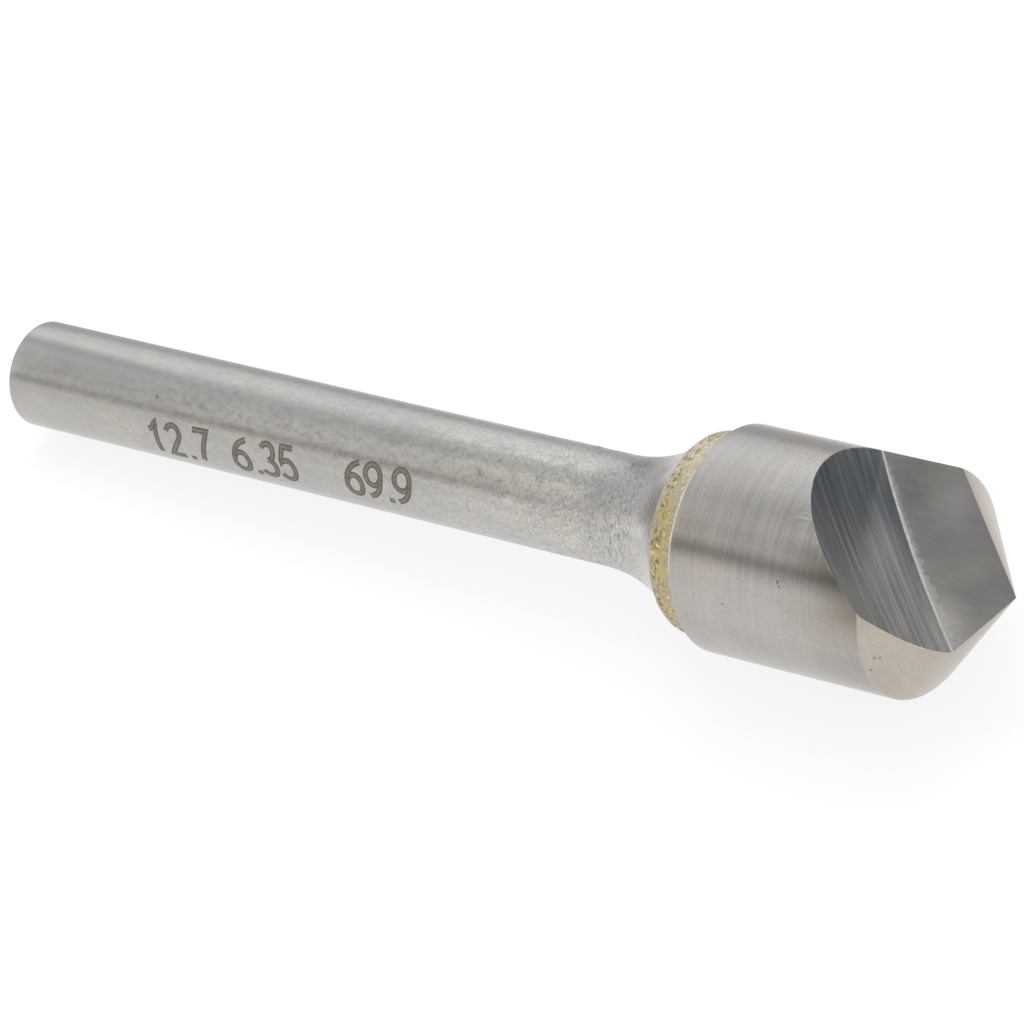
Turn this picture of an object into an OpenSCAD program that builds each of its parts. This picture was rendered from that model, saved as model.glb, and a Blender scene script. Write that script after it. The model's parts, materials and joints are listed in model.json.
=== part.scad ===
// Single-flute countersink bit: a turned steel shank with a carbide cutting head brazed to its front.
// All sizes are in millimetres.
// The tool is drawn along its own axis: +X from the shank's end to the point, +Y from the axis
// to the cutting edge, and +Z square to the flat face of the flute.
// Then it is laid down as it comes to rest, on the shank's end and on the head's rear rim,
// with the floor at Z = 0 and the origin under the middle of its length.

/* [Tool] */
// Length from the shank's end to the nominal point
overall_length = 69.85; // [60:0.05:90]
// Diameter that the drill chuck grips
shank_diameter = 6.35; // [4:0.05:8]
// Chamfer round the shank's end
end_chamfer = 0.15; // [0.1:0.05:0.8]
// Roll about the tool's own axis at which its weight lies lowest
rest_roll = 33.5; // [-180:0.5:180]

/* [Neck] */
// Length along the axis of the flare that widens the shank to the head
flare_length = 6.1; // [4:0.1:10]
// Radius of the steel at the flare's wide end
flare_end_radius = 5.4; // [4.6:0.05:5.6]
// Roundness of the flare's wide end: 1 ends it square to the axis, 0 leaves it straight
flare_roundness = 0.78; // [0.3:0.02:0.95]

/* [Braze joint] */
// Width along the axis of the band of braze that shows
band_width = 2; // [1.2:0.1:3]
// Radius of the band of braze
band_radius = 5.68; // [5.62:0.02:5.9]
// Thickness of the braze film between the steel and the carbide
film_thickness = 0.15; // [0.08:0.01:0.3]
// Length along the axis of the band's round shoulder
shoulder_length = 0.6; // [0.2:0.1:1]
// Height of the braze fillet against the head's rear face
fillet_height = 0.4; // [0.2:0.05:0.45]
// Length along the axis of that fillet
fillet_length = 0.5; // [0.3:0.05:0.8]

/* [Cutting head] */
// Diameter of the head
head_diameter = 12.7; // [12.7:0.1:16]
// Length from the head's rear face to the nominal point
head_length = 18.1; // [15:0.1:24]
// Included angle of the cutting cone
point_angle = 100; // [82:1:120]
// Distance from the tool's axis to the cone's, which relieves the cone behind the cutting edge
relief_offset = 0.35; // [0.1:0.01:0.5]
// Angle by which that offset leads the cutting edge
relief_lead = 4; // [0:1:45]
// Break of the head's rear rim
rim_break = 0.08; // [0.04:0.01:0.2]

/* [Flute] */
// Radius of the round wall behind the flat face
wall_radius = 40.8; // [36:0.2:46]
// Distance ahead of the point at which the wall's axis crosses the plane of the flat face
wall_ahead = 33; // [30:0.1:40]
// Distance from the tool's axis to that crossing, on the cutting edge's side
wall_aside = 19.3; // [17:0.1:20.5]
// Lean of the wall's axis away from square to the flat face
wall_lean = 40.6; // [38:0.2:44]
// Direction of that lean, turned from straight ahead towards the cutting edge
wall_turn = 148.8; // [144:0.2:152]

/* [Hidden] */
$fn = 96;

// How far a cutting shape runs on past what it cuts
over = 2;
// Straight steps along the flare
flare_steps = 32;
// Straight steps along each curve of the braze
braze_steps = 6;

shank_radius = shank_diameter / 2;
head_radius = head_diameter / 2;
half_angle = point_angle / 2;

// Places along the tool's axis
head_rear = overall_length - head_length;
steel_front = head_rear - film_thickness;
flare_end = head_rear - band_width;
flare_start = flare_end - flare_length;

// The flare is part of an ellipse that leaves the shank without a corner
flare_depth = flare_end_radius - shank_radius;
flare_full_length = flare_length / flare_roundness;
flare_full_rise = flare_depth / (1 - sqrt(1 - pow(flare_roundness, 2)));

// The cone's axis is set off from the tool's, so its tip lies back from the nominal point
cone_side = relief_offset * cos(relief_lead);
cone_rise = relief_offset * sin(relief_lead);
cone_tip = overall_length - cone_side / tan(half_angle);
cone_base_radius = head_radius + relief_offset + over;

// The tool touches the floor at the chamfer of the shank's end and at the head's rear rim
rest_pitch = atan((head_radius - shank_radius) / (head_rear + rim_break - end_chamfer));
rest_height = shank_radius * cos(rest_pitch) - end_chamfer * sin(rest_pitch);
// The sharp point left after the flute has cut through the cone's tip
point_x = cone_tip - cone_rise / tan(half_angle);
point_lift = cone_side * sin(rest_roll);
lowest_x = -(shank_radius - end_chamfer) * sin(rest_pitch);
highest_x = point_x * cos(rest_pitch) - point_lift * sin(rest_pitch);
middle_x = (lowest_x + highest_x) / 2;

function flare_radius(x) =
    shank_radius + flare_full_rise * (1 - sqrt(1 - pow((x - flare_start) / flare_full_length, 2)));

// Moves a tool drawn along +X to where it rests on the floor
module at_rest() {
    translate([-middle_x, 0, rest_height])
        rotate([0, -rest_pitch, 0])
            rotate([rest_roll, 0, 0])
                children();
}

// Turns an outline of [place along the axis, radius] points about the X axis
module turned(outline) {
    rotate([0, 90, 0])
        rotate_extrude()
            polygon([for (p = outline) [p[1], p[0]]]);
}

// Steel: the straight shank, the flare and the collar under the braze band
module shank() {
    tail = [
        [0, 0],
        [0, shank_radius - end_chamfer],
        [end_chamfer, shank_radius]
    ];
    flare = [
        for (i = [0 : flare_steps])
            let (x = flare_start + flare_length * i / flare_steps)
            [x, flare_radius(x)]
    ];
    collar = [
        [steel_front, flare_end_radius],
        [steel_front, 0]
    ];
    color("silver")
        at_rest()
            turned(concat(tail, flare, collar));
}

// Braze alloy: a film between the two faces, and a band over the collar with a fillet at the head
module braze_joint() {
    band_step = band_radius - flare_end_radius;
    inside = [
        [head_rear, 0],
        [steel_front, 0],
        [steel_front, flare_end_radius]
    ];
    shoulder = [
        for (i = [0 : braze_steps])
            let (t = 90 * i / braze_steps)
            [flare_end + shoulder_length * (1 - cos(t)), flare_end_radius + band_step * sin(t)]
    ];
    fillet = [
        for (i = [0 : braze_steps])
            let (u = i / braze_steps)
            [head_rear - fillet_length * (1 - u), band_radius + fillet_height * pow(u, 2)]
    ];
    color("darkkhaki")
        at_rest()
            turned(concat(inside, shoulder, fillet));
}

// The cone and all that lies behind it, about the cone's own axis
module cone_envelope() {
    translate([0, cone_side, cone_rise])
        turned([
            [head_rear - over, 0],
            [head_rear - over, cone_base_radius],
            [cone_tip - cone_base_radius / tan(half_angle), cone_base_radius],
            [cone_tip, 0]
        ]);
}

// What the grinding wheel takes away: all above the flat face and ahead of the round wall
module flute() {
    reach = head_radius + over;
    wall_length = 4 * wall_radius;
    intersection() {
        translate([head_rear, -reach, 0])
            cube([head_length + over, 2 * reach, reach]);
        translate([overall_length + wall_ahead, wall_aside, 0])
            rotate([0, wall_lean, wall_turn])
                cylinder(h = wall_length, r = wall_radius, center = true);
    }
}

// Carbide: a cylinder ground to a relieved cone, with one flute
module cutting_head() {
    color("darkgray")
        at_rest()
            difference() {
                intersection() {
                    turned([
                        [head_rear, 0],
                        [head_rear, head_radius - rim_break],
                        [head_rear + rim_break, head_radius],
                        [overall_length + over, head_radius],
                        [overall_length + over, 0]
                    ]);
                    cone_envelope();
                }
                flute();
            }
}

shank();
braze_joint();
cutting_head();
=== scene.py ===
# Countersink bit: fine meshes, finish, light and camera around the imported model.
import functools
import json
import math

import bmesh
import bpy
import numpy as np
from mathutils import Matrix, Vector, noise


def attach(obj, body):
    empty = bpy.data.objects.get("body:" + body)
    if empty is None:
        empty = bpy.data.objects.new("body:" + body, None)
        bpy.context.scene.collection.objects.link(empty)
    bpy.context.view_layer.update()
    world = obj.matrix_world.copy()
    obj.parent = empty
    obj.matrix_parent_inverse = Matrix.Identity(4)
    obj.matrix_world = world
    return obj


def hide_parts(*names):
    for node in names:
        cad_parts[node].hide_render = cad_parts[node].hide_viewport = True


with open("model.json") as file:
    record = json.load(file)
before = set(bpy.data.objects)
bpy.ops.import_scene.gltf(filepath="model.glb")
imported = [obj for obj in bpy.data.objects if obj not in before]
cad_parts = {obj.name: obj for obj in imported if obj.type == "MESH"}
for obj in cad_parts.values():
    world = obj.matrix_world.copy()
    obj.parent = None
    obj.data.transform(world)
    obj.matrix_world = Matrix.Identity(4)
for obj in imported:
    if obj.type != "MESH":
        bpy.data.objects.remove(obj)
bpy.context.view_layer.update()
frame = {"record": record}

MM = 0.001

# The tool's own frame, in millimetres: +X from the shank's end to the point, +Y from the axis to the
# cutting edge, +Z square to the flat face. Every piece is made in it, and TOOL lays the piece down where
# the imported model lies.
MOUNTS = {m["name"]: m for m in frame["record"]["mounts"]}
SHANK_END = Vector(MOUNTS["shank_end"]["pos_m"])
TOOL_AXIS = -Vector(MOUNTS["shank_end"]["axis"])
REST_ROLL = math.radians(33.5)
REST_PITCH = math.asin(TOOL_AXIS.z)
TOOL = (
    Matrix.Translation(SHANK_END)
    @ Matrix.Rotation(-REST_PITCH, 4, "Y")
    @ Matrix.Rotation(REST_ROLL, 4, "X")
)

# Sizes of the tool in millimetres, as the CAD model has them
LENGTH = 69.85
SHANK_R = MOUNTS["shank"]["dims"]["r_mm"]
END_CHAMFER = 0.15
FLARE_LENGTH = 6.1
FLARE_END_R = 5.4
FLARE_ROUNDNESS = 0.78
BAND_WIDTH = 2
BAND_R = 5.68
FILM = 0.15
SHOULDER = 0.6
FILLET_HEIGHT = 0.4
FILLET_LENGTH = 0.5
HEAD_LENGTH = 18.1
HEAD_R = 6.35
RIM_BREAK = 0.08
HALF_ANGLE = math.radians(50)
RELIEF_OFFSET = 0.35
RELIEF_LEAD = math.radians(4)
WALL_R = 40.8
WALL_AHEAD = 33
WALL_ASIDE = 19.3
WALL_LEAN = math.radians(40.6)
WALL_TURN = math.radians(148.8)

# Places along the tool
HEAD_REAR = LENGTH - HEAD_LENGTH
STEEL_FRONT = HEAD_REAR - FILM
FLARE_END = HEAD_REAR - BAND_WIDTH
FLARE_START = FLARE_END - FLARE_LENGTH
# The cone's axis is set off from the tool's, so its tip lies back from the nominal point
CONE_SIDE = RELIEF_OFFSET * math.cos(RELIEF_LEAD)
CONE_RISE = RELIEF_OFFSET * math.sin(RELIEF_LEAD)
CONE_TIP = LENGTH - CONE_SIDE / math.tan(HALF_ANGLE)
# A point on the axis of the wheel that ground the flute's wall, and the direction of that axis
WHEEL_POINT = np.array([LENGTH + WALL_AHEAD, WALL_ASIDE, 0])
WHEEL_AXIS = np.array([
    math.sin(WALL_LEAN) * math.cos(WALL_TURN),
    math.sin(WALL_LEAN) * math.sin(WALL_TURN),
    math.cos(WALL_LEAN),
])

# Where the ground shank ends and the rougher neck begins, and how rough the neck is
NECK_START = 36
NECK_ROUGHNESS = 0.011
# The lathe's slight hollow in the middle of the shank's end
END_HOLLOW = 0.012
# One small burr on the neck, with its angle and its width round the neck in radians
BURR_X = 41.7
BURR_ANGLE = 0.2
BURR_HEIGHT = 0.07
BURR_LENGTH = 0.28
BURR_WIDTH = 0.07


def fractal(x, y, z, octaves=3):
    """Smooth noise of about -1 to 1 at a point, with finer noise on it."""
    return noise.fractal(Vector((x, y, z)), 0.8, 2.1, octaves, noise_basis="PERLIN_ORIGINAL")


def flare_radius(x):
    """Radius of the flare, which is part of an ellipse that leaves the shank without a corner."""
    if x <= FLARE_START:
        return SHANK_R
    full_length = FLARE_LENGTH / FLARE_ROUNDNESS
    full_rise = (FLARE_END_R - SHANK_R) / (1 - math.sqrt(1 - FLARE_ROUNDNESS**2))
    return SHANK_R + full_rise * (1 - math.sqrt(1 - ((x - FLARE_START) / full_length) ** 2))


def angles_round(count):
    """Evenly spaced angles once round the tool."""
    return [2 * math.pi * (j + 0.5) / count for j in range(count)]


def polar(x, radius, angle):
    """The point at a radius and an angle round the tool's axis."""
    return x, radius * math.cos(angle), radius * math.sin(angle)


def curve(a, b, c, steps):
    """Points of a smooth curve from a to c that leaves and arrives along the lines to b."""
    return [
        tuple((1 - t) ** 2 * p + 2 * t * (1 - t) * q + t * t * r for p, q, r in zip(a, b, c))
        for t in np.linspace(0, 1, steps + 1)
    ]


# Meshes

# Faces that meet at more than this show an edge
SHARP = math.radians(14)


def finish_mesh(obj):
    """Smooths faces that meet nearly level, lays the piece down and binds it to the tool's one body."""
    mesh = obj.data
    work = bmesh.new()
    work.from_mesh(mesh)
    for face in work.faces:
        face.smooth = True
    for edge in work.edges:
        edge.smooth = len(edge.link_faces) == 2 and edge.calc_face_angle(0) < SHARP
    work.transform(TOOL)
    work.to_mesh(mesh)
    work.free()
    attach(obj, "root")
    return obj


def new_object(name, points, faces, materials, face_slots=None):
    """A mesh object in the tool's frame, from points in millimetres."""
    mesh = bpy.data.meshes.new(name)
    mesh.from_pydata([Vector(p) * MM for p in points], [], faces)
    for material in materials:
        mesh.materials.append(material)
    if face_slots is not None:
        mesh.polygons.foreach_set("material_index", face_slots)
    mesh.update()
    obj = bpy.data.objects.new(name, mesh)
    bpy.context.scene.collection.objects.link(obj)
    return obj


def side_faces(count, n, first=0):
    """Faces between each two neighbours of count sections, where a section is a closed ring of n points."""
    for i in range(count - 1):
        a = first + i * n
        b = a + n
        for j in range(n):
            k = (j + 1) % n
            yield a + j, a + k, b + k, b + j


def skin(rings, start, end):
    """Points and faces of a closed body through rings of points, from a start pole to an end pole."""
    around = len(rings[0])
    points = [p for ring in rings for p in ring] + [start, end]
    faces = list(side_faces(len(rings), around))
    last = (len(rings) - 1) * around
    for j in range(around):
        k = (j + 1) % around
        faces.append((len(points) - 2, k, j))
        faces.append((len(points) - 1, last + j, last + k))
    return points, faces


def ring_of(x, radius, around, shift=None):
    """A ring of points about the tool's axis. shift gives how far out a point lies at an angle."""
    return [polar(x, radius + (shift(angle) if shift else 0), angle) for angle in angles_round(around)]


def shank_profile():
    """Places along the tool and radii of the steel, from its end to its front face."""
    edge = 0.05
    chamfer_r = SHANK_R - END_CHAMFER
    profile = [(END_HOLLOW, 0.4), (0, 0.7), (0, chamfer_r - 2 * edge)]
    profile += curve((0, chamfer_r - edge), (0, chamfer_r), (edge, chamfer_r + edge), 3)
    profile += curve(
        (END_CHAMFER - edge, SHANK_R - edge), (END_CHAMFER, SHANK_R), (END_CHAMFER + edge, SHANK_R), 3
    )
    profile += [(x, SHANK_R) for x in np.arange(1, NECK_START, 1.0)]
    profile += [(x, flare_radius(x)) for x in np.linspace(NECK_START, FLARE_END, 140)]
    profile += [(STEEL_FRONT - 0.5, FLARE_END_R), (STEEL_FRONT, FLARE_END_R), (STEEL_FRONT, 2)]
    return profile


def neck_shift(x, radius):
    """How far out the neck's lumps and its burr lie at each angle, or None where the steel is plain."""
    if x <= NECK_START or x >= FLARE_END:
        return None
    rise, fall = 6, 0.4
    size = NECK_ROUGHNESS * min(1, (x - NECK_START) / rise) * min(1, (FLARE_END - x) / fall)

    def shift(angle):
        _, y, z = polar(x, radius, angle)
        lumps = fractal(1.6 * x, 1.1 * y, 1.1 * z)
        along = (x - BURR_X) / BURR_LENGTH
        round_it = (angle - BURR_ANGLE) / BURR_WIDTH
        return size * lumps + BURR_HEIGHT * math.exp(-(along**2) - round_it**2)
    return shift


def make_shank(material):
    """The turned steel: end face, rounded chamfer, straight shank, rough neck and flare."""
    around = 256
    rings = [ring_of(x, r, around, neck_shift(x, r)) for x, r in shank_profile()]
    shank = new_object("shank_visual", *skin(rings, (END_HOLLOW, 0, 0), (STEEL_FRONT, 0, 0)), [material])
    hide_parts("shank")
    return finish_mesh(shank)


def braze_point(t, angle):
    """A point on the braze band's surface, with t from 0 at the rear edge to 1 at the head."""
    # How far the rear edge wanders. It is sunk a hair in the steel, and the fillet is a hair lower than
    # in the CAD model.
    wander = 0.1
    hair = 0.02
    _, y, z = polar(0, 5, angle)
    rear = FLARE_END - hair + wander * fractal(3.1, 1.3 * y, 1.3 * z)
    x = rear + t * (HEAD_REAR - rear)
    rise = min(1, t * BAND_WIDTH / SHOULDER)
    root = flare_radius(min(rear, FLARE_END - 0.001)) - hair
    radius = root + (BAND_R - root) * math.sqrt(1 - (1 - rise) ** 2)
    near_head = max(0, 1 - (HEAD_REAR - x) / FILLET_LENGTH)
    radius += (FILLET_HEIGHT - hair) * near_head**2
    lumps = fractal(1.5 * x, 1.5 * y, 1.5 * z, 2)
    grains = fractal(6 * x, 6 * y, 6 * z, 3)
    pit = max(0, fractal(2.9 * x + 7, 2.9 * y, 2.9 * z, 2) - 0.3)
    fade = min(1, rise * 1.5) * (1 - 0.85 * near_head)
    return polar(x, radius + fade * (0.045 * lumps + 0.03 * grains - 0.16 * pit), angle)


def make_braze(material):
    """The braze: a film between steel and carbide, and a lumpy band with an uneven rear edge."""
    around = 640
    rows = 22
    rings = [ring_of(STEEL_FRONT, FLARE_END_R, around), ring_of(FLARE_END + 0.3, FLARE_END_R, around)]
    for i in range(rows + 1):
        # The rows lie a little closer together at the rear edge.
        t = (i / rows) ** 1.15
        rings.append([braze_point(t, angle) for angle in angles_round(around)])
    braze = new_object("braze_visual", *skin(rings, (STEEL_FRONT, 0, 0), (HEAD_REAR, 0, 0)), [material])
    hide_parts("braze_joint")
    return finish_mesh(braze)


def wall_x(y, z):
    """Where the flute's wall lies along the tool, at a place across it and a height over the flat."""
    # A line along the tool meets the wheel's cylinder twice, and the wall is where it does so first.
    dx, dy, dz = WHEEL_AXIS
    across = y - WHEEL_POINT[1]
    along = dy * across + dz * z
    a = 1 - dx * dx
    b = -2 * dx * along
    c = across**2 + z**2 - along**2 - WALL_R**2
    return WHEEL_POINT[0] + (-b - math.sqrt(b * b - 4 * a * c)) / (2 * a)


def root_width(y):
    """Width of the round at the wall's foot, on the flat's side: uneven, and widest near the middle."""
    widest_at, spread = 1.2, 3.6
    middle = math.exp(-(((y - widest_at) / spread) ** 2))
    ragged = 0.5 + 0.5 * fractal(1.7, 3.4 * y, 0.3, 5)
    return 0.06 + middle * (0.08 + 0.13 * ragged)


def make_flute_cutter(flat, root, wall):
    """What the wheel takes away: sections across the tool, each of flat, root and wall, closed ahead."""
    ahead = LENGTH + 2
    top = HEAD_R + 0.8
    side = 7
    spacing = 0.07
    wall_foot = 0.07
    root_steps = 7
    heights = np.linspace(wall_foot, top, 44)
    sections = []
    for y in np.arange(-side, side + 0.01, spacing):
        corner = (wall_x(y, 0), y, 0)
        start = (corner[0] + root_width(y), y, 0)
        foot = (wall_x(y, wall_foot), y, wall_foot)
        section = [(ahead, y, 0)]
        section += curve(start, corner, foot, root_steps)
        section += [(wall_x(y, z), y, z) for z in heights[1:]]
        section.append((ahead, y, top))
        sections.append(section)
    n = len(sections[0])
    # Material slots of the sides: 0 for the flat, 1 for the root and 2 for the wall and what lies outside
    slots = [0] + [1] * root_steps + [2] * (len(heights) - 1) + [2, 2]
    points = [p for section in sections for p in section]
    last = (len(sections) - 1) * n
    faces = [*side_faces(len(sections), n), tuple(reversed(range(n))), tuple(range(last, last + n))]
    face_slots = slots * (len(sections) - 1) + [2, 2]
    return new_object("flute_cutter", points, faces, [flat, root, wall], face_slots)


def head_rings(around):
    """Rings of points along the uncut head, and the material slot between each two.

    The slot is 0 on the rear face and the cylinder, and 1 on the cone. The points lie on straight lines
    out from the cone's axis, so the relieved cone is exact.
    """
    # How far from the edge between cylinder and cone the surface begins to round over
    soft = 0.12
    round_steps = 5
    # Shares of the cone's radius at which it has a ring
    cone_rings = (0.93, 0.8, 0.65, 0.5, 0.35, 0.2, 0.1, 0.04, 0.012)
    ring_points = []
    for angle in angles_round(around):
        c, s = math.cos(angle), math.sin(angle)
        # From the cone's axis out to the head's cylinder
        b = CONE_SIDE * c + CONE_RISE * s
        out = -b + math.sqrt(b * b - RELIEF_OFFSET**2 + HEAD_R**2)
        y, z = CONE_SIDE + out * c, CONE_RISE + out * s
        ring_points.append((y, z, out, c, s))

    def scaled(x, share):
        """The ring at a place along the cylinder, at a share of its radius."""
        return [(x, y * share, z * share) for y, z, *_ in ring_points]

    rings = [
        scaled(HEAD_REAR, 0.3),
        scaled(HEAD_REAR, 1 - (RIM_BREAK + 0.02) / HEAD_R),
        scaled(HEAD_REAR + 0.01, 1 - RIM_BREAK * 0.55 / HEAD_R),
        scaled(HEAD_REAR + RIM_BREAK * 0.5, 1 - 0.012 / HEAD_R),
        scaled(HEAD_REAR + RIM_BREAK + 0.02, 1),
    ]
    # Rings along the cylinder, up to a little short of the cone
    rings += [scaled(x, 1) for x in np.arange(52.5, 63.6, 0.7)]
    slots = [0] * (len(rings) - 1)
    blend, body = [], []
    for y, z, out, c, s in ring_points:
        edge_x = CONE_TIP - out / math.tan(HALF_ANGLE)
        inner = out - soft
        inner_x = CONE_TIP - inner / math.tan(HALF_ANGLE)
        blend.append(curve(
            (edge_x - soft * 1.4, y, z),
            (edge_x, y, z),
            (inner_x, CONE_SIDE + inner * c, CONE_RISE + inner * s),
            round_steps,
        ))
        body.append([
            (CONE_TIP - r / math.tan(HALF_ANGLE), CONE_SIDE + r * c, CONE_RISE + r * s)
            for r in [inner * share for share in cone_rings]
        ])
    rings += [list(ring) for ring in zip(*blend)]
    slots += [0] + [1] * round_steps
    rings += [list(ring) for ring in zip(*body)]
    slots += [1] * len(body[0])
    return rings, slots


def take_away(obj, cutter):
    """Cuts a shape out of an object. The new faces keep the cutter's materials."""
    cut = obj.modifiers.new("cut", "BOOLEAN")
    cut.operation = "DIFFERENCE"
    cut.solver = "EXACT"
    cut.object = cutter
    cut.material_mode = "TRANSFER"
    depsgraph = bpy.context.evaluated_depsgraph_get()
    result = bpy.data.meshes.new_from_object(obj.evaluated_get(depsgraph), depsgraph=depsgraph)
    obj.modifiers.clear()
    obj.data = result
    bpy.data.objects.remove(cutter)


def make_head(ground, cone, flat, root, wall):
    """The carbide head: a cylinder with a relieved cone, less the flute."""
    around = 540
    rings, slots = head_rings(around)
    start, end = (HEAD_REAR, 0, 0), (CONE_TIP - 0.006, CONE_SIDE, CONE_RISE)
    face_slots = [slot for slot in slots for _ in range(around)] + [0, 1] * around
    head = new_object("head_visual", *skin(rings, start, end), [ground, cone], face_slots)
    take_away(head, make_flute_cutter(flat, root, wall))
    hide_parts("cutting_head")
    return finish_mesh(head)


# The size mark: plain numbers, read along the shank with their tops towards the cutting edge

# Each number and where it starts along the tool
MARK = (("12.7", 11.2), ("6.35", 17.9), ("69.9", 26.5))
MARK_HEIGHT = 2.12
MARK_STROKE = 0.37
# Share of a stroke's width that is paler, in its middle
MARK_CORE = 0.4
MARK_THICKNESS = 0.006
# The angle on which the numbers stand at their start, and how it turns with each millimetre
MARK_BASE_START = math.radians(153)
MARK_BASE_TURN = math.radians(-0.65)
# Room that a digit and a decimal point take, as a share of the height
DIGIT_ADVANCE = 0.68
POINT_ADVANCE = 0.32


def arc(x, y, width, height, start, end, steps=18):
    """Points of part of an ellipse, from one angle in degrees to another."""
    turns = [math.radians(a) for a in np.linspace(start, end, steps + 1)]
    return [(x + width * math.cos(t), y + height * math.sin(t)) for t in turns]


def six():
    """The one stroke of a 6. A 9 is the same, turned half round."""
    tail = curve((0.47, 0.98), (0.0, 0.86), (0.0, 0.3), 14)
    return tail + arc(0.26, 0.3, 0.26, 0.3, 180, 528, 24)[1:]


# Each sign's strokes in a cell of height 1, as lines of points
STROKES = {
    "1": [[(0.06, 0.76), (0.18, 0.82), (0.3, 1.0), (0.3, 0)]],
    "2": [arc(0.26, 0.73, 0.24, 0.27, 165, -25) + [(0.02, 0.0), (0.52, 0.0)]],
    "3": [arc(0.24, 0.76, 0.22, 0.24, 155, -90), arc(0.24, 0.27, 0.27, 0.27, 78, -155)],
    "5": [[(0.48, 1.0), (0.1, 1.0), (0.05, 0.52)] + arc(0.24, 0.31, 0.27, 0.31, 130, -150)],
    "6": [six()],
    "7": [[(0.02, 1.0), (0.52, 1.0), (0.2, 0)]],
    "9": [[(0.52 - x, 1 - y) for x, y in six()]],
    ".": [[(0.12, -0.08), (0.12, 0.08)]],
}


def bend_on_shank(x, up, out):
    """Wraps flat lettering, x along the tool and up its side, onto the shank's surface."""
    angle = MARK_BASE_START + MARK_BASE_TURN * (x - MARK[0][1]) - up / SHANK_R
    return polar(x, SHANK_R + out, angle)


def fine_line(line, longest=0.1):
    """The same line with no step longer than this, in millimetres."""
    points = [line[0]]
    for a, b in zip(line, line[1:]):
        steps = max(1, math.ceil(math.dist(a, b) / longest))
        points += [tuple(p + (q - p) * i / steps for p, q in zip(a, b)) for i in range(1, steps + 1)]
    return points


# Points across a stroke, as (share of half its width, share of its thickness), and which side is its core
STROKE_SECTION = ((1, 0), (1, 1), (MARK_CORE, 1), (-MARK_CORE, 1), (-1, 1), (-1, 0))
CORE_SIDE = 2


def stroke_mesh(line, points, faces, face_slots):
    """Adds one stroke of the mark: a thin closed ribbon along a line, square at its ends."""
    line = [Vector(p) for p in fine_line(line)]
    first = len(points)
    for i, place in enumerate(line):
        before = (place - line[i - 1]).normalized() if i else (line[1] - place).normalized()
        after = (line[i + 1] - place).normalized() if i + 1 < len(line) else before
        side = (before + after).normalized()
        reach = MARK_STROKE / 2 / max(0.6, side.dot(before))
        side = Vector((-side.y, side.x)) * reach
        for share, out in STROKE_SECTION:
            flat = place + side * share
            points.append(bend_on_shank(flat.x, flat.y, out * MARK_THICKNESS))
    n = len(STROKE_SECTION)
    last = first + n * (len(line) - 1)
    faces += side_faces(len(line), n, first)
    faces += [tuple(reversed(range(first, first + n))), tuple(range(last, last + n))]
    slots = [1 if side == CORE_SIDE else 0 for side in range(n)]
    face_slots += slots * (len(line) - 1) + [0, 0]


def make_mark(edge, core):
    """Thin etched numbers that follow the shank's curve."""
    points, faces, face_slots = [], [], []
    for number, x in MARK:
        for sign in number:
            for stroke in STROKES[sign]:
                line = [(x + u * MARK_HEIGHT, v * MARK_HEIGHT) for u, v in stroke]
                stroke_mesh(line, points, faces, face_slots)
            x += MARK_HEIGHT * (POINT_ADVANCE if sign == "." else DIGIT_ADVANCE)
    mark = new_object("size_mark", points, faces, [edge, core], face_slots)
    return finish_mesh(mark)


# Materials, written as arithmetic on fields over the tool

# In them s.x is the place along the tool in millimetres, and s.angle is degrees round it, from +Y towards
# +Z. So step, plateau, bump_at and spot say where on the tool a thing shows, the first numbers of noise
# how fine it is, and the factor in mix or shade how strong it is.


class Field:
    """A number or colour that varies over a surface, as a shader socket."""

    def __init__(self, tree, socket):
        self.tree = tree
        self.socket = socket

    def math(self, operation, *others):
        """One step of arithmetic on this field and others."""
        node = self.tree.nodes.new("ShaderNodeMath")
        node.operation = operation
        for slot, value in zip(node.inputs, (self, *others)):
            plug(slot, value)
        return Field(self.tree, node.outputs[0])

    def __add__(self, other):
        return self.math("ADD", other)

    def __sub__(self, other):
        return self.math("SUBTRACT", other)

    def __mul__(self, other):
        return self.math("MULTIPLY", other)

    def __truediv__(self, other):
        return self.math("DIVIDE", other)

    def inverse(self):
        """1 less this field."""
        return self.math("MULTIPLY_ADD", -1, 1)

    def top(self, other):
        """The larger of this field and another."""
        return self.math("MAXIMUM", other)

    def step(self, low, high):
        """0 below low, 1 above high, and smooth between."""
        node = self.tree.nodes.new("ShaderNodeMapRange")
        node.interpolation_type = "SMOOTHSTEP"
        plug(node.inputs["Value"], self)
        node.inputs["From Min"].default_value = low
        node.inputs["From Max"].default_value = high
        return Field(self.tree, node.outputs[0])

    def plateau(self, low, high, falling, gone):
        """1 from high to falling, and 0 below low and above gone."""
        return self.step(low, high) * self.step(falling, gone).inverse()

    def bump_at(self, centre, width):
        """1 at centre, falling smoothly to 0 over width to each side."""
        return (self - centre).math("ABSOLUTE").step(0, width).inverse()

    def reach(self, direction):
        """How far this field's vector reaches in a direction."""
        node = self.tree.nodes.new("ShaderNodeVectorMath")
        node.operation = "DOT_PRODUCT"
        plug(node.inputs[0], self)
        plug(node.inputs[1], direction)
        return Field(self.tree, node.outputs["Value"])


def plug(slot, value):
    """Links a field to a socket, or writes a plain value there."""
    if isinstance(value, Field):
        value.tree.links.new(value.socket, slot)
    elif isinstance(value, (tuple, list)) and len(value) == 3 and slot.type == "RGBA":
        slot.default_value = (*value, 1)
    else:
        slot.default_value = value


def mix_colors(tree, a, b, share):
    """Colour a where share is 0, and b where it is 1."""
    node = tree.nodes.new("ShaderNodeMix")
    node.data_type = "RGBA"
    plug(node.inputs[0], share)
    plug(node.inputs[6], a)
    plug(node.inputs[7], b)
    return Field(tree, node.outputs[2])


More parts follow.
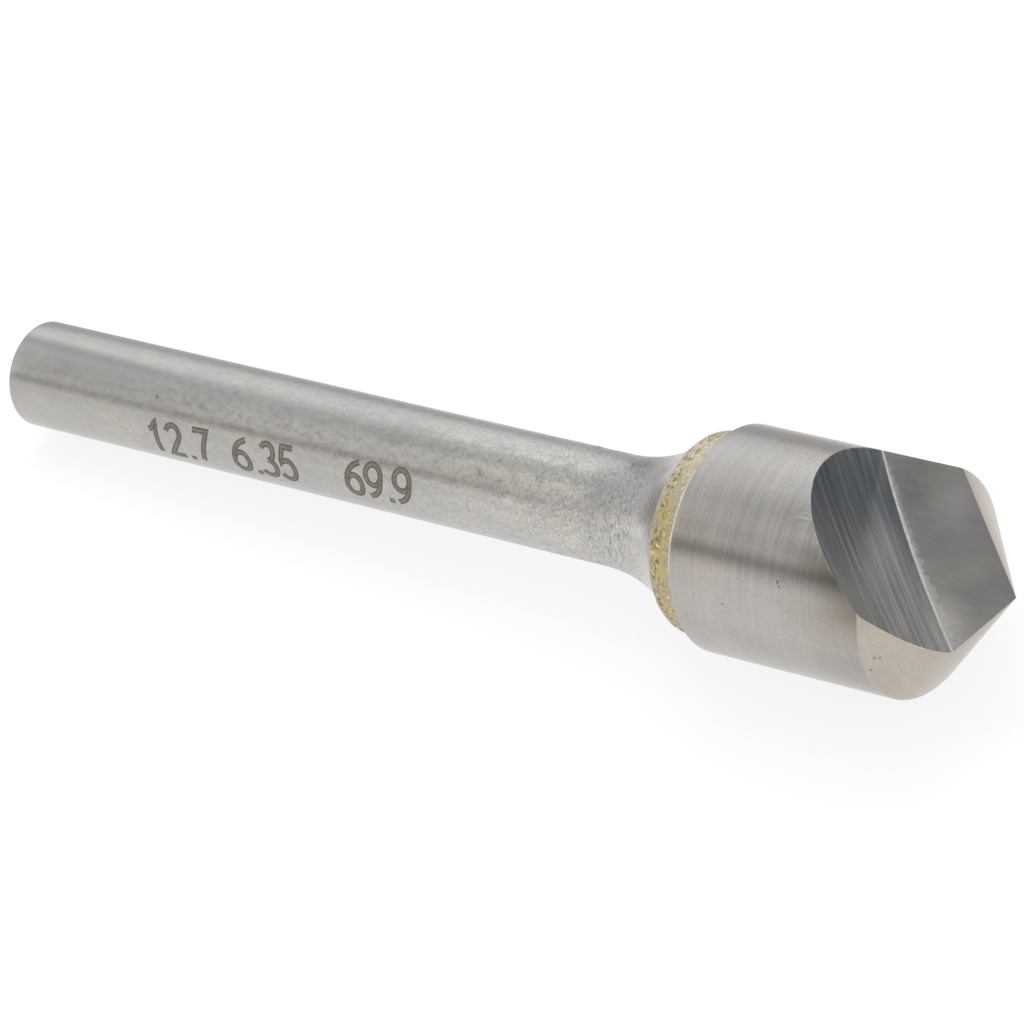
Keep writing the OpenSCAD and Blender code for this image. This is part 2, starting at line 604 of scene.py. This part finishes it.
def mix_shaders(tree, a, b, share):
    """Shader a where share is 0, and b where it is 1."""
    node = tree.nodes.new("ShaderNodeMixShader")
    plug(node.inputs[0], share)
    tree.links.new(a.outputs[0], node.inputs[1])
    tree.links.new(b.outputs[0], node.inputs[2])
    return node


class Surface:
    """A material's node tree, with the place on the tool in millimetres."""

    def __init__(self, name):
        self.material = bpy.data.materials.new(name)
        self.material.use_nodes = True
        self.tree = self.material.node_tree
        self.shader = next(n for n in self.tree.nodes if n.type == "BSDF_PRINCIPLED")
        coordinates = self.tree.nodes.new("ShaderNodeTexCoord")
        to_tool = self.tree.nodes.new("ShaderNodeMapping")
        to_tool.vector_type = "TEXTURE"
        to_tool.inputs["Location"].default_value = TOOL.to_translation()
        to_tool.inputs["Rotation"].default_value = TOOL.to_euler()
        to_tool.inputs["Scale"].default_value = (MM, MM, MM)
        self.tree.links.new(coordinates.outputs["Object"], to_tool.inputs["Vector"])
        self.place = Field(self.tree, to_tool.outputs[0])
        split = self.tree.nodes.new("ShaderNodeSeparateXYZ")
        plug(split.inputs[0], self.place)
        self.x, self.y, self.z = (Field(self.tree, s) for s in split.outputs)
        self.angle = self.z.math("ARCTAN2", self.y) * (180 / math.pi)

    def vector(self, operation, value, other):
        """One step of arithmetic on two vectors."""
        node = self.tree.nodes.new("ShaderNodeVectorMath")
        node.operation = operation
        plug(node.inputs[0], value)
        plug(node.inputs[1], other)
        output = "Value" if operation in ("LENGTH", "DISTANCE") else "Vector"
        return Field(self.tree, node.outputs[output])

    def noise(self, scale, detail=3, shift=0, roughness=0.55):
        """Noise of about 0.25 to 0.75. scale is cycles per millimetre along X, Y and Z."""
        scale = scale if isinstance(scale, tuple) else (scale,) * 3
        node = self.tree.nodes.new("ShaderNodeTexNoise")
        moved = self.vector("MULTIPLY", self.place, scale)
        moved = self.vector("ADD", moved, (shift, shift * 1.7, shift * 0.6))
        plug(node.inputs["Vector"], moved)
        node.inputs["Scale"].default_value = 1
        node.inputs["Detail"].default_value = detail
        node.inputs["Roughness"].default_value = roughness
        return Field(self.tree, node.outputs[0])

    def near(self, centre, full, gone):
        """1 nearer to a point than full, and 0 farther from it than gone."""
        return self.vector("DISTANCE", self.place, centre).step(full, gone).inverse()

    def spot(self, x, angle, radius, size):
        """A spot that fades out at size, with its centre along the axis, in degrees round it and out."""
        return self.near(polar(x, radius, math.radians(angle)), size * 0.45, size)

    def mix(self, a, b, share):
        """Colour a where share is 0, and b where it is 1."""
        return mix_colors(self.tree, a, b, share)

    def shade(self, color, amount):
        """A colour times a field of about 1."""
        node = self.tree.nodes.new("ShaderNodeVectorMath")
        node.operation = "SCALE"
        plug(node.inputs[0], color)
        plug(node.inputs["Scale"], amount)
        return Field(self.tree, node.outputs[0])

    def bump(self, height, depth, under=None):
        """Turns a height field of 0 to 1 into relief that is depth millimetres deep."""
        node = self.tree.nodes.new("ShaderNodeBump")
        node.inputs["Strength"].default_value = 1
        node.inputs["Distance"].default_value = depth * MM
        plug(node.inputs["Height"], height)
        if under:
            plug(node.inputs["Normal"], under)
        return Field(self.tree, node.outputs[0])

    def finish(self, color, roughness, metallic=1.0, normal=None, anisotropy=0.0):
        """Sets the surface's looks. anisotropy is how far lines round the tool stretch highlights."""
        plug(self.shader.inputs["Base Color"], color)
        plug(self.shader.inputs["Roughness"], roughness)
        plug(self.shader.inputs["Metallic"], metallic)
        if normal:
            plug(self.shader.inputs["Normal"], normal)
        if anisotropy:
            self.shader.inputs["Anisotropic"].default_value = anisotropy
            tangent = self.tree.nodes.new("ShaderNodeTangent")
            tangent.direction_type = "RADIAL"
            tangent.axis = "X"
            self.tree.links.new(tangent.outputs[0], self.shader.inputs["Tangent"])
            self.shader.inputs["Anisotropic Rotation"].default_value = 0.25
        return self.material


# Colours of the steel: its two tones, then what lies on it, and painted light and shade
STEEL_TONE = (0.451, 0.442, 0.426)
STEEL_WARM = (0.474, 0.453, 0.422)
STEEL_STAIN = (0.35, 0.352, 0.358)
STEEL_PAINTED_HIGHLIGHT_BAND = (0.7, 0.675, 0.63)
STEEL_STRAW = (0.62, 0.58, 0.46)
STEEL_CREST = (0.74, 0.71, 0.62)
STEEL_DASH = (0.17, 0.165, 0.16)
STEEL_SPECK = (0.15, 0.14, 0.135)
STEEL_PAINTED_DIM = (0.38, 0.38, 0.372)
STEEL_SMUDGE = (0.2, 0.2, 0.195)
STEEL_PAINTED_HIGHLIGHT = (0.68, 0.67, 0.655)
STEEL_SHADE = (0.33, 0.328, 0.322)
STEEL_NICK = (0.1, 0.1, 0.1)


def steel_painted_reflections(s, color, mottle):
    """Painted reflections: paler and darker strips along the shank, which end just before its end face."""
    off_end = s.x.step(0.02, 0.3)
    side = s.angle.plateau(88, 112, 155, 178)
    # Painted reflections: lighter towards the neck, along about 99 degrees, and by the middle of the shank
    color = s.shade(color, s.x.step(28, 40) * (side + s.angle.bump_at(40, 22)) * 0.13 + 1)
    color = s.shade(color, s.angle.bump_at(99, 15) * off_end * 0.34 + 1)
    color = s.shade(color, s.angle.bump_at(88, 13) * s.x.bump_at(30, 9) * 0.26 + 1)
    # A painted dark streak, a dark reflection slanting round the shank
    painted_dark_streak = (s.angle - s.x * 0.38).bump_at(56.5, 11) * (s.x.step(0, 26).inverse() * 0.2 + 0.07)
    color = s.shade(color, painted_dark_streak * off_end * s.x.step(30, 40).inverse() * -1 + 1)
    # A painted highlight band along about 91 degrees
    band = s.angle.bump_at(91, 22) * (s.x.step(8, 23) * 0.75 + off_end * 0.25)
    band = band * s.x.step(42, 48).inverse() * mottle.step(0.3, 0.58)
    return s.mix(color, STEEL_PAINTED_HIGHLIGHT_BAND, band * 0.85)


def steel_neck(s, color, dashes):
    """Straw and pale spots, dark dashes and specks on the neck."""
    straw = s.noise(3.4, 3, 41).step(0.5, 0.66) * s.x.bump_at(38, 10) * s.angle.bump_at(80, 38)
    color = s.mix(color, STEEL_STRAW, straw * 0.45)
    crests = s.angle.bump_at(56, 9) * 0.7 + s.angle.bump_at(82, 12)
    crests = crests * s.x.plateau(31, 35, 42.5, 44.5) * s.noise(1.1, 3, 71).step(0.36, 0.56)
    color = s.mix(color, STEEL_CREST, crests * 0.6)
    color = s.mix(color, STEEL_DASH, dashes * 0.6)
    return s.mix(color, STEEL_SPECK, s.noise(3.6, 1, 21).step(0.74, 0.79) * 0.5)


def steel_flare(s, color, mottle):
    """The flare, with painted shade where it starts, smudged on one side, and painted highlights and a
    painted shade by the braze.
    """
    # Painted shade over part of the flare's round, where it starts
    painted_dim = s.angle.bump_at(62, 52) * s.x.plateau(42.8, 44.4, 47.2, 48.6)
    color = s.mix(color, STEEL_PAINTED_DIM, painted_dim * 0.75)
    smudge = (s.angle - s.x * 6).bump_at(-236, 20) * s.x.bump_at(46, 2.2) * mottle.step(0.3, 0.55)
    color = s.mix(color, STEEL_SMUDGE, smudge * 0.8)
    # Painted highlights by the braze
    far_side = s.angle.plateau(-90, -20, 35, 62)
    painted_highlight = s.x.step(46.2, 48.4) * (s.angle.plateau(110, 150, 160, 178) * 0.3 + far_side * 0.6)
    painted_highlight = painted_highlight + s.x.step(48, 48.8) * s.angle.bump_at(63, 12) * 0.4
    color = s.mix(color, STEEL_PAINTED_HIGHLIGHT, painted_highlight)
    # Painted shade in one narrow place by the braze
    return s.mix(color, STEEL_SHADE, s.x.step(47.4, 48.8) * s.angle.bump_at(87, 20) * 0.6)


def shank_steel():
    """Satin ground steel with specks and stains, rough and spotted near the neck, with painted reflections
    along it and painted highlights by the braze.
    """
    s = Surface("shank_steel")
    neck = s.x.step(33, 45)
    flare = s.x.step(46.5, 48.5)
    cloud = s.noise(0.35, 2, 3)
    mottle = s.noise((2.2, 3.2, 3.2), 4, 11, 0.65)
    fine = s.noise(5.5, 3, 5, 0.65)
    dashes = s.noise((10, 1.7, 1.7), 2, 8).step(0.55, 0.68) * s.x.bump_at(45.6, 4.2)
    stains = s.noise((0.9, 1.5, 1.5), 3, 31, 0.6).step(0.52, 0.68)
    warm = s.noise((0.5, 0.8, 0.8), 2, 51).step(0.42, 0.62)
    # The patterns are fainter near the shank's end.
    lively = s.x.step(4, 14) * 0.6 + 0.4
    color = s.mix(STEEL_TONE, STEEL_WARM, warm)
    color = s.shade(color, (mottle.step(0.3, 0.7) - 0.5) * lively * 0.16 + 1)
    color = s.mix(color, STEEL_STAIN, stains * lively * 0.22)
    color = steel_painted_reflections(s, color, mottle)
    color = steel_neck(s, color, dashes)
    color = steel_flare(s, color, mottle)
    grainy = s.x.step(12, 40) * 0.75 + s.x.step(36, 43) * 0.5 - flare * 0.3
    color = s.shade(color, (fine - 0.5) * grainy + 1)
    nicks = s.spot(45.25, 38, 3.3, 0.16).top(s.spot(11.84, 87.4, SHANK_R, 0.1))
    color = s.mix(color, STEEL_NICK, nicks * 0.7)
    color = s.shade(color, cloud * 0.14 + 0.93)
    relief = s.bump((fine * 0.3 + mottle * 0.7) * lively, 0.012)
    relief = s.bump((fine * 0.6 + dashes.inverse() * 0.4) * (neck - flare * 0.75), 0.03, relief)
    roughness = mottle * 0.12 + neck * 0.08 - flare * 0.06 + 0.2
    return s.finish(color, roughness, normal=relief)


# Pairs of tones of the etched numbers, at the edges of a stroke and in its middle
ETCHED_EDGE = (0.115, 0.1, 0.085), (0.18, 0.16, 0.14)
ETCHED_CORE = (0.2, 0.17, 0.13), (0.27, 0.24, 0.2)


def etched(name, tones):
    """Dark oxide of the etched numbers, a little uneven."""
    s = Surface(name)
    patches = s.noise(5, 2, 3)
    color = s.mix(*tones, patches.step(0.35, 0.7))
    return s.finish(color, 0.55, metallic=0.35, normal=s.bump(patches, 0.01))


# Colours of the braze
BRAZE_GOLD = (0.56, 0.475, 0.21)
BRAZE_TAN = (0.5, 0.425, 0.3)
BRAZE_TAN_UPPER = (0.62, 0.54, 0.42)
BRAZE_PIT = (0.2, 0.145, 0.075)
BRAZE_SPECK = (0.88, 0.84, 0.74)
BRAZE_REAR = (0.56, 0.5, 0.43)
BRAZE_LINE = (0.9, 0.83, 0.69)


def braze_alloy():
    """Golden olive alloy, mottled with tan oxide, brown pits and pale specks."""
    s = Surface("braze_alloy")
    lumps = s.noise(1.9, 4, 2, 0.6)
    grain = s.noise(8, 3, 6, 0.6)
    across = s.x - FLARE_END
    core = across.bump_at(0.8, 0.95)
    lower = s.angle.bump_at(105, 75)
    gold = (lumps * 0.7 + lower * 0.16 + core * 0.2 + grain * 0.2).step(0.65, 0.83)
    tan = s.mix(BRAZE_TAN, BRAZE_TAN_UPPER, s.angle.bump_at(30, 60))
    color = s.mix(tan, BRAZE_GOLD, gold)
    color = s.shade(color, grain * 1.3 + 0.35)
    pits = s.noise((4, 2.4, 2.4), 4, 17, 0.65).step(0.5, 0.62) * across.bump_at(0.5, 0.6)
    color = s.mix(color, BRAZE_PIT, pits * 0.85)
    specks = s.noise(4.6, 2, 27).step(0.62, 0.72)
    color = s.mix(color, BRAZE_SPECK, specks * 0.85)
    rear = (across + lumps * 0.3).step(0.2, 0.42).inverse()
    color = s.mix(color, BRAZE_REAR, rear * 0.8)
    line = (across + grain * 0.1).step(1.5, 1.58) * across.step(1.68, 1.82).inverse()
    color = s.mix(color, BRAZE_LINE, line * 0.9)
    relief = s.bump(grain * 0.5 + lumps * 0.6 - pits * 0.5, 0.06)
    return s.finish(color, grain * 0.25 + 0.33, metallic=0.75, normal=relief)


# Colours of the carbide: the tones of each face, then what lies on them, and painted light and shade
GROUND_TONE = (0.464, 0.448, 0.424)
GROUND_WARM = (0.484, 0.446, 0.413)
CONE_TONE = (0.492, 0.441, 0.384)
FLAT_TONE = (0.335, 0.332, 0.325)
FLAT_WARM = (0.358, 0.346, 0.33)
WALL_TONE = (0.442, 0.435, 0.425)
WALL_BLUE = (0.41, 0.43, 0.455)
ROOT_TONE_AND_PAINTED_HIGHLIGHT = (0.56, 0.56, 0.54)
CARBIDE_PAINTED_BROWN_SHADE = (0.33, 0.27, 0.2)
CARBIDE_PAINTED_CORNER_SHADE = (0.2, 0.172, 0.142)
GROUND_PIT = (0.08, 0.08, 0.08)
CONE_PIT = (0.1, 0.09, 0.08)
SCUFF_AND_PAINTED_EDGE_HIGHLIGHT = (0.7, 0.7, 0.69)
TORN_AND_PAINTED_HIGHLIGHT = (0.62, 0.62, 0.6)
CONE_EDGE_WEAR_AND_PAINTED_HIGHLIGHT = (0.8, 0.79, 0.76)
WALL_RIM_WEAR_AND_PAINTED_HIGHLIGHT = (0.8, 0.8, 0.79)

# Pits in the carbide, as (place along the tool, angle in degrees, size) on the cylinder, and as
# (point, radius of the dark middle, radius of the whole pit) on the cone
GROUND_PITS = ((58.85, 106.4, 0.12), (58.95, 108.4, 0.08), (55.22, 124.7, 0.08), (53.3, 96, 0.06))
CONE_PITS = (
    ((64.39, -4.45, 3.89), 0.04, 0.095),
    ((64.57, -4.37, 3.62), 0.03, 0.085),
    ((64.13, -5.1, 3.5), 0.03, 0.085),
)


def all_of(marks):
    """The largest of several fields, which puts marks on one surface together."""
    return functools.reduce(Field.top, marks)


def grind_lines(s, scale=6):
    """Fine lines round the tool, as a wheel leaves them."""
    coarse = s.noise((scale * 0.3, 0.12, 0.12), 3, 4)
    fine = s.noise((scale, 0.2, 0.2), 3, 9)
    return coarse * 0.4 + fine * 0.6


def from_wall(s):
    """Distance in millimetres from the flute's round wall, into the carbide."""
    to_axis = s.vector("SUBTRACT", s.place, tuple(WHEEL_POINT))
    square = s.vector("CROSS_PRODUCT", to_axis, tuple(WHEEL_AXIS))
    return s.vector("LENGTH", square, (0, 0, 0)) - WALL_R


def edge_wear_and_painted_highlight(s):
    """A thin uneven line beside the flute's edge: partly wear, where the corner has crumbled a little, and
    partly a painted highlight of the edge.
    """
    ragged = s.noise(7, 3, 35)
    near = (from_wall(s).math("ABSOLUTE") - ragged * 0.1).step(-0.04, 0.01).inverse()
    return near * s.noise(0.9, 2, 61).step(0.42, 0.58) * s.z.step(-0.1, 0.05)


def carbide_ground():
    """The head's cylinder and rear face: ground round, with painted shade by cone and flute, pits, a scuff,
    and a line by the flute that is partly wear and partly a painted highlight.
    """
    s = Surface("carbide_ground")
    lines = grind_lines(s)
    cloud = s.noise((0.25, 0.5, 0.5), 3, 14)
    warm = s.noise(0.22, 2, 44).step(0.38, 0.62)
    color = s.mix(GROUND_TONE, GROUND_WARM, warm)
    grain = s.noise((4, 10, 10), 2, 54)
    strength = s.angle.bump_at(80, 44) * 0.5 + 0.36
    color = s.shade(color, (lines - 0.5) * strength + cloud * 0.16 + grain * 0.34 + 0.75)
    # Painted shade: darker strips towards the cone, partly brown, and a dark brown corner beside the flute
    painted_shade_near_cone = s.x.step(58, 63) * s.angle.plateau(106, 120, 165, 178)
    color = s.shade(color, painted_shade_near_cone * -0.13 - s.angle.plateau(134, 144, 165, 178) * 0.06 + 1)
    color = s.mix(color, CARBIDE_PAINTED_BROWN_SHADE, painted_shade_near_cone * s.angle.bump_at(119, 20) * 0.35)
    # Two more painted dark reflections on the cylinder
    color = s.shade(color, s.x.step(50, 60) * s.angle.bump_at(73, 12) * -0.16 + 1)
    color = s.shade(color, s.x.step(55, 60) * s.angle.bump_at(105, 8) * -0.16 + 1)
    corner = from_wall(s).step(-0.2, 2.6).inverse() * s.angle.plateau(80, 96, 114, 128)
    color = s.mix(color, CARBIDE_PAINTED_CORNER_SHADE, corner * 0.8)
    pits = all_of(s.spot(x, angle, HEAD_R, size) for x, angle, size in GROUND_PITS)
    color = s.mix(color, GROUND_PIT, pits * 0.6)
    scuff = s.spot(59.55, 74, HEAD_R, 0.7) * s.noise((0.9, 9, 9), 2, 33).step(0.52, 0.62)
    # The scuff is wear; the line by the flute's edge is partly wear and partly a painted highlight
    color = s.mix(color, SCUFF_AND_PAINTED_EDGE_HIGHLIGHT, scuff.top(edge_wear_and_painted_highlight(s)) * 0.42)
    relief = s.bump(lines, 0.001)
    relief = s.bump(pits.inverse(), 0.04, relief)
    roughness = lines * 0.08 + scuff * 0.2 + 0.22
    return s.finish(color, roughness, normal=relief, anisotropy=0.85)


def carbide_cone():
    """The cone: pinkish, with faint lines round it, three small pits, and an edge at the flute that is
    partly worn and partly a painted highlight.
    """
    s = Surface("carbide_cone")
    lines = grind_lines(s, 5)
    cloud = s.noise(0.5, 3, 24)
    grain = s.noise(3, 3, 74)
    color = s.shade(CONE_TONE, lines * 0.26 + cloud * 0.2 + grain * 0.24 + 0.65)
    pits = all_of(s.near(*pit) for pit in CONE_PITS)
    color = s.mix(color, CONE_PIT, pits * 0.6)
    color = s.mix(color, CONE_EDGE_WEAR_AND_PAINTED_HIGHLIGHT, edge_wear_and_painted_highlight(s) * 0.5)
    relief = s.bump(lines, 0.0015)
    return s.finish(color, lines * 0.08 + 0.24, normal=s.bump(pits.inverse(), 0.03, relief))


def carbide_flat():
    """The flat face: smooth and faintly clouded, with painted light and a painted shadow near the wall's
    foot, and a torn strip there that is painted pale as a highlight.
    """
    s = Surface("carbide_flat")
    cloud = s.noise(0.3, 3, 7)
    warm = s.noise(0.45, 2, 17).step(0.42, 0.62)
    lines = s.noise((0.5, 5, 1), 3, 19)
    color = s.mix(FLAT_TONE, FLAT_WARM, warm)
    color = s.shade(color, cloud * 0.4 + lines * 0.3 + 0.65)
    from_foot = from_wall(s) * -1
    # Painted light towards -Y, strongest by the wall's foot, a faint painted pool of light, and a painted
    # shadow by the root
    low = s.y.step(-1.8, 0.4).inverse() * (from_foot.step(0, 2.4).inverse() * 0.22 + 0.16)
    pale = s.near((64.5, 4.6, 0), 0.3, 2)
    dim = s.near((61.9, 5.4, 0), 0.4, 2.4)
    color = s.shade(color, low + pale * 0.08 - dim * 0.18 + 1)
    # The torn strip: rough and ragged wear, painted pale as a highlight
    ends = s.y.plateau(-4.5, -1.5, 5, 6.8)
    width = ends * (s.y.step(-3, 4).inverse() * 0.5 + 0.65)
    frayed = (s.noise((2.2, 3.4, 1), 4, 23, 0.65).step(0.3, 0.7) * 0.4 + 0.2) * width
    torn_and_painted_highlight = (from_foot - frayed).step(-0.3, 0.12).inverse() * ends
    color = s.mix(color, TORN_AND_PAINTED_HIGHLIGHT, torn_and_painted_highlight * (s.noise(5, 3, 29) * 0.7 + 0.3))
    relief = s.bump(lines * 0.1 + s.noise(6, 3, 37) * torn_and_painted_highlight, 0.012)
    return s.finish(color, cloud * 0.1 + torn_and_painted_highlight * 0.3 + 0.16, normal=relief)


def carbide_wall():
    """The flute's round wall: bluish and darker towards +Y, the darkening painted shade, with the wheel's
    lines along its foot and a painted shadow on the foot.
    """
    s = Surface("carbide_wall")
    coarse = s.noise((0.12, 0.09, 3.3), 3, 3)
    fine = s.noise((0.26, 0.2, 8), 3, 13)
    lines = coarse * 0.4 + fine * 0.6
    # Painted shade: darker towards +Y; painted light higher up the wall
    level = s.y.step(-0.5, 5.5) * -0.46 + 1.12
    level = level + s.z.step(0.2, 1.8) * (s.y.step(1, 4).inverse() * 0.08 + 0.06)
    tone = s.mix(WALL_TONE, WALL_BLUE, s.y.step(-1, 4))
    # A painted shadow along the wall's foot
    foot = s.z.step(0, 0.9).inverse() * s.y.plateau(-3, 0, 3.5, 5.5)
    level = level - foot * 0.2
    color = s.shade(tone, (lines * 1.9 + 0.05) * level)
    # A thin pale line where the wall meets the cylinder: partly wear, partly a painted edge highlight
    rim = (s.y * s.y + s.z * s.z).math("SQRT").step(HEAD_R - 0.07, HEAD_R - 0.02)
    color = s.mix(color, WALL_RIM_WEAR_AND_PAINTED_HIGHLIGHT, rim * s.noise(5, 3, 35).step(0.4, 0.6) * 0.5)
    return s.finish(color, lines * 0.12 + 0.16, normal=s.bump(lines, 0.006))


def carbide_root():
    """The rough strip where the wheel's worn corner ran, at the foot of the wall, painted pale as a
    highlight.
    """
    s = Surface("carbide_root")
    grain = s.noise(6, 3, 3)
    color = s.shade(ROOT_TONE_AND_PAINTED_HIGHLIGHT, grain * 0.8 + 0.6)
    return s.finish(color, 0.62, metallic=0.7, normal=s.bump(grain, 0.04))


# Stage: a white floor, a pale studio all round, one large soft lamp and the camera

# The camera, fitted to the bit's outline in the photo, with its lens and sensor in millimetres
CAMERA_PLACE = Vector((159.524, -128.069, 206.158)) * MM
CAMERA_SIGHT = Vector((-0.55201, 0.44402, -0.70579))
CAMERA_UP = Vector((-0.22928, 0.73298, 0.64045))
CAMERA_LENS = 179.41
CAMERA_SENSOR = 36


def direction(azimuth, elevation):
    """Unit vector towards a place in the studio, in degrees round from +X and up."""
    a, e = math.radians(azimuth), math.radians(elevation)
    return math.cos(e) * math.cos(a), math.cos(e) * math.sin(a), math.sin(e)


def make_camera():
    """The photo's view of the bit."""
    data = bpy.data.cameras.new("camera")
    data.sensor_width = CAMERA_SENSOR
    data.lens = CAMERA_LENS
    data.clip_start = 0.01
    camera = bpy.data.objects.new("camera", data)
    right = CAMERA_SIGHT.cross(CAMERA_UP).normalized()
    up = right.cross(CAMERA_SIGHT).normalized()
    turn = Matrix((right, up, -CAMERA_SIGHT.normalized())).transposed()
    camera.matrix_world = Matrix.Translation(CAMERA_PLACE) @ turn.to_4x4()
    bpy.context.scene.collection.objects.link(camera)
    bpy.context.scene.camera = camera


# Soft places in the studio, each an ellipse as (azimuth, elevation, tilt of its long axis from level,
# spread along that axis, spread across it, change of level), in degrees.
STUDIO_PLACES = (
    (-134, 26, 33, 28, 7.5, -0.77),
    (-169, 49, -12, 24, 16, -0.32),
    (-143, 42, 46, 12, 9, -0.38),
    (60, 4, 0, 30, 13, -0.9),
    (131, 26, 0, 20, 14, 0.3),
)
STUDIO_LEVEL = 1.0
# The room's light is a little warmer towards -Y, where the camera stands, and cooler towards +Y
STUDIO_FRONT_COLOR = (1, 0.985, 0.97)
STUDIO_BACK_COLOR = (0.955, 0.98, 1)


def soft_place(ray, azimuth, elevation, tilt, long_spread, short_spread):
    """1 at a place in the studio, falling softly to 0 over a tilted ellipse."""
    centre = Vector(direction(azimuth, elevation))
    level = Vector((-centre.y, centre.x, 0)).normalized()
    up = centre.cross(level)
    c, s = math.cos(math.radians(tilt)), math.sin(math.radians(tilt))
    along = ray.reach(level * c + up * s) / math.sin(math.radians(long_spread))
    across = ray.reach(up * c - level * s) / math.sin(math.radians(short_spread))
    fall = ((along * along + across * across) * -1).math("EXPONENT")
    return fall * ray.reach(centre).step(0, 0.3)


def make_studio():
    """White for the camera. Everything else sees a pale room with soft darker and brighter places."""
    world = bpy.data.worlds.new("studio")
    bpy.context.scene.world = world
    world.use_nodes = True
    tree = world.node_tree
    room = tree.nodes["Background"]
    coordinates = tree.nodes.new("ShaderNodeTexCoord")
    ray = Field(tree, coordinates.outputs["Generated"])
    level = STUDIO_LEVEL
    for *shape, change in STUDIO_PLACES:
        level = soft_place(ray, *shape) * change + level
    plug(room.inputs["Strength"], level)
    behind = ray.reach((0, 1, 0)).step(-0.7, 0.3)
    plug(room.inputs["Color"], mix_colors(tree, STUDIO_FRONT_COLOR, STUDIO_BACK_COLOR, behind))
    white = tree.nodes.new("ShaderNodeBackground")
    plug(white.inputs["Color"], (1, 1, 1))
    plug(white.inputs["Strength"], 1)
    rays = tree.nodes.new("ShaderNodeLightPath")
    seen = mix_shaders(tree, room, white, Field(tree, rays.outputs["Is Camera Ray"]))
    tree.links.new(seen.outputs[0], tree.nodes["World Output"].inputs[0])


# How much of the floor's white is its own glow, for the camera and in metal. The rest takes shadows.
FLOOR_GLOW_TO_CAMERA = 0.8
FLOOR_GLOW_TO_METAL = 0.9
FLOOR_WHITE = 1.04
# Metal sees the table end behind the bit and to its right. Each end is (direction round from +X, distance
# in metres at which it starts, distance at which it is complete, share of the light left beyond it).
TABLE_ENDS = (
    (110, 0.01, 0.026, 0.58),
    (40, 0.04, 0.08, 0.3),
)


def make_floor():
    """A wide white floor with soft shadows. In metal its far parts show dim, as a table's ends do."""
    half = 1.5
    corners = [(-half, -half, 0), (half, -half, 0), (half, half, 0), (-half, half, 0)]
    mesh = bpy.data.meshes.new("floor")
    mesh.from_pydata(corners, [], [(0, 1, 2, 3)])
    floor = bpy.data.objects.new("floor", mesh)
    bpy.context.scene.collection.objects.link(floor)
    material = bpy.data.materials.new("floor")
    material.use_nodes = True
    tree = material.node_tree
    shader = next(n for n in tree.nodes if n.type == "BSDF_PRINCIPLED")
    shader.inputs["Base Color"].default_value = (0.8, 0.8, 0.8, 1)
    shader.inputs["Roughness"].default_value = 0.9
    shader.inputs["Specular IOR Level"].default_value = 0
    rays = tree.nodes.new("ShaderNodeLightPath")
    camera, glossy = (Field(tree, rays.outputs[f"Is {kind} Ray"]) for kind in ("Camera", "Glossy"))
    place = Field(tree, tree.nodes.new("ShaderNodeTexCoord").outputs["Object"])
    left = 1
    for azimuth, near, far, share in TABLE_ENDS:
        left = (place.reach(direction(azimuth, 0)).step(near, far) * (share - 1) + 1) * left
    glow = tree.nodes.new("ShaderNodeEmission")
    glow.inputs["Strength"].default_value = FLOOR_WHITE
    dark = tree.nodes.new("ShaderNodeEmission")
    dark.inputs["Strength"].default_value = 0
    white = mix_shaders(tree, shader, glow, camera * FLOOR_GLOW_TO_CAMERA + glossy * FLOOR_GLOW_TO_METAL)
    seen = mix_shaders(tree, white, dark, left.inverse() * glossy)
    tree.links.new(seen.outputs[0], tree.nodes["Material Output"].inputs[0])
    mesh.materials.append(material)


# The lamp's place and diameter in metres, and its power in watts
LAMP_PLACE = Vector((-0.1, 0.25, 0.7))
LAMP_SIZE = 0.5
LAMP_POWER = 2.2


def make_lamp():
    """One large soft lamp overhead. Metal sees the studio's own places, not the lamp."""
    data = bpy.data.lights.new("overhead", "AREA")
    data.shape = "DISK"
    data.size = LAMP_SIZE
    data.energy = LAMP_POWER
    lamp = bpy.data.objects.new("overhead", data)
    lamp.visible_glossy = False
    turn = LAMP_PLACE.to_track_quat("Z", "Y").to_matrix().to_4x4()
    lamp.matrix_world = Matrix.Translation(LAMP_PLACE) @ turn
    bpy.context.scene.collection.objects.link(lamp)


bpy.context.scene.view_settings.view_transform = "Standard"
make_camera()
make_studio()
make_floor()
make_lamp()
make_shank(shank_steel())
make_mark(etched("etched_edge", ETCHED_EDGE), etched("etched_core", ETCHED_CORE))
make_braze(braze_alloy())
make_head(carbide_ground(), carbide_cone(), carbide_flat(), carbide_root(), carbide_wall())
